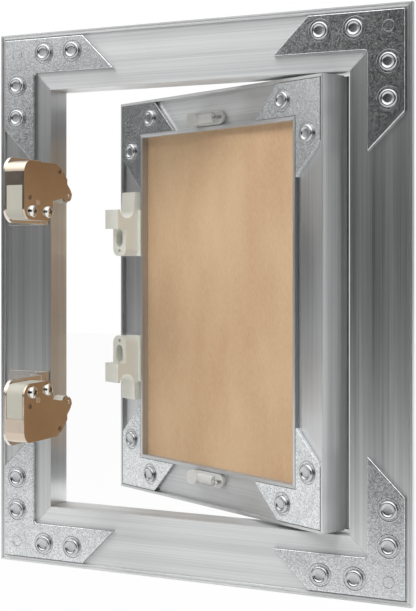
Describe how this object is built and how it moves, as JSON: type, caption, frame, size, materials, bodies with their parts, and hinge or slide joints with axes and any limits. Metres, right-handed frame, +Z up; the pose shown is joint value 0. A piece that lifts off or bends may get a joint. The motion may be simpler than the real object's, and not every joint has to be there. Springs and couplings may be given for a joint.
{
  "type": "drywall access panel",
  "caption": "Aluminium framed access panel for plasterboard walls, its board leaf ajar on hidden pivots, with touch latches and strikes.",
  "frame": {"origin": "centre of the opening, on the plane where the frame's foot bears on the back of the wallboard", "axes": "+Z up along the panel's height, +Y from the cavity through the wall to the room, +X towards the pivot side"},
  "size_m": [0.211, 0.1212, 0.262],
  "materials": {
    "brushed_aluminium": "brushed along each rail",
    "galvanised_steel": "spangled hot-dip zinc",
    "nickel_plated_steel": "bright nickel",
    "white_nylon": "moulded, slightly translucent",
    "bright_steel": "bright zinc",
    "cream_nylon": "moulded satin",
    "back_paper": "matt tan liner",
    "face_paper": "matt ivory liner",
    "gypsum": "matt plaster"
  },
  "bodies": {
    "frame": {"frame_bottom_rail": "brushed_aluminium", "frame_corner_plate_bottom_hinge": "galvanised_steel", "frame_corner_plate_bottom_lock": "galvanised_steel", "frame_corner_plate_top_hinge": "galvanised_steel", "frame_corner_plate_top_lock": "galvanised_steel", "frame_hinge_stile": "brushed_aluminium", "frame_lock_stile": "brushed_aluminium", "frame_top_rail": "brushed_aluminium", "lower_bracket_rivets": "nickel_plated_steel", "lower_case_rivets": "nickel_plated_steel", "lower_latch_body": "cream_nylon", "lower_latch_bracket": "nickel_plated_steel", "lower_latch_case": "nickel_plated_steel", "lower_latch_screws": "bright_steel", "lower_lever_pin": "bright_steel", "lower_lever_spring": "bright_steel", "pivot_bush_bottom": "cream_nylon", "pivot_bush_top": "cream_nylon", "upper_bracket_rivets": "nickel_plated_steel", "upper_case_rivets": "nickel_plated_steel", "upper_latch_body": "cream_nylon", "upper_latch_bracket": "nickel_plated_steel", "upper_latch_case": "nickel_plated_steel", "upper_latch_screws": "bright_steel", "upper_lever_pin": "bright_steel", "upper_lever_spring": "bright_steel"},
    "leaf": {"board_back_paper": "back_paper", "board_face_paper": "face_paper", "board_gypsum_core": "gypsum", "leaf_bottom_rail": "brushed_aluminium", "leaf_corner_plate_bottom_hinge": "galvanised_steel", "leaf_corner_plate_bottom_lock": "galvanised_steel", "leaf_corner_plate_top_hinge": "galvanised_steel", "leaf_corner_plate_top_lock": "galvanised_steel", "leaf_hinge_stile": "brushed_aluminium", "leaf_lock_stile": "brushed_aluminium", "leaf_top_rail": "brushed_aluminium", "lower_strike": "white_nylon", "lower_strike_screw": "bright_steel", "pivot_block_bottom": "cream_nylon", "pivot_block_top": "cream_nylon", "pivot_pin_bottom": "bright_steel", "pivot_pin_top": "bright_steel", "tether_lug_bottom": "white_nylon", "tether_lug_pins_bottom": "bright_steel", "tether_lug_pins_top": "bright_steel", "tether_lug_top": "white_nylon", "upper_strike": "white_nylon", "upper_strike_screw": "bright_steel"},
    "upper_latch": {"upper_latch_lever": "nickel_plated_steel", "upper_nose_pad": "cream_nylon", "upper_nose_pin": "bright_steel"},
    "lower_latch": {"lower_latch_lever": "nickel_plated_steel", "lower_nose_pad": "cream_nylon", "lower_nose_pin": "bright_steel"}
  },
  "joints": [
    {"name": "leaf_swing", "type": "hinge", "parent": "frame", "child": "leaf", "pos_m": [0.056, 0.0095, 0], "axis": [0, 0, -1], "range_deg": [-25.7, 64.3]},
    {"name": "upper_latch_turn", "type": "hinge", "parent": "frame", "child": "upper_latch", "pos_m": [-0.06545, -0.04015, 0.0454], "axis": [-1, 0, 0], "range_deg": [0, 6.5], "stiffness_Nm_per_rad": 0.02},
    {"name": "lower_latch_turn", "type": "hinge", "parent": "frame", "child": "lower_latch", "pos_m": [-0.06545, -0.04015, -0.0454], "axis": [1, 0, 0], "range_deg": [0, 6.5], "stiffness_Nm_per_rad": 0.02}
  ]
}
